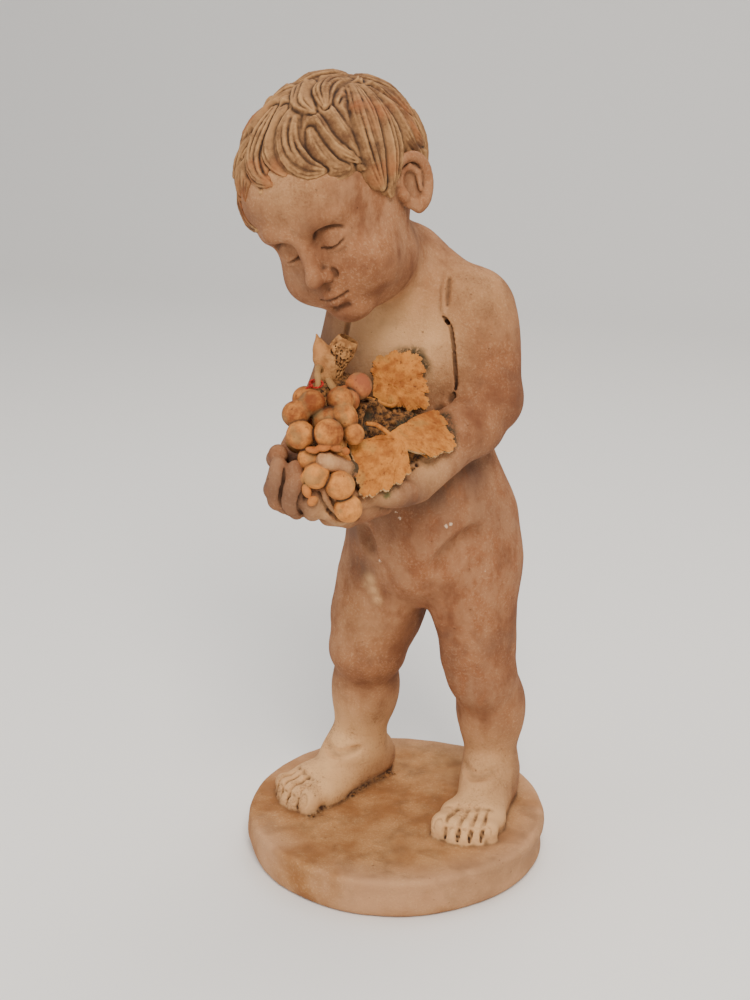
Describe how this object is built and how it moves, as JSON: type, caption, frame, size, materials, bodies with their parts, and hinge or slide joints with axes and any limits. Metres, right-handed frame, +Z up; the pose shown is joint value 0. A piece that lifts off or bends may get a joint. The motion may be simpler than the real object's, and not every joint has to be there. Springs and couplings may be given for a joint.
{
  "type": "terracotta putto figure",
  "caption": "Standing terracotta putto with bowed head, holding a bunch of grapes with vine leaves in cupped hands, barefoot on a round base.",
  "frame": {"origin": "middle of the round base's underside", "axes": "+Z up, -Y the way that the figure faces, +X to the figure's left"},
  "size_m": [0.241, 0.2723, 0.6179],
  "materials": {
    "terracotta": "dry fired clay, dusty buff on the raised parts",
    "orange_clay": "dry fired clay, orange",
    "stub_clay": "dry fired clay, netted and worn",
    "red_thread": "twisted thread"
  },
  "bodies": {
    "root": {"putto": "terracotta", "grape_bunch": "orange_clay", "vine_leaf_upper": "orange_clay", "vine_leaf_lower": "orange_clay", "vine_stub": "stub_clay", "thread_tie": "red_thread"}
  },
  "joints": []
}
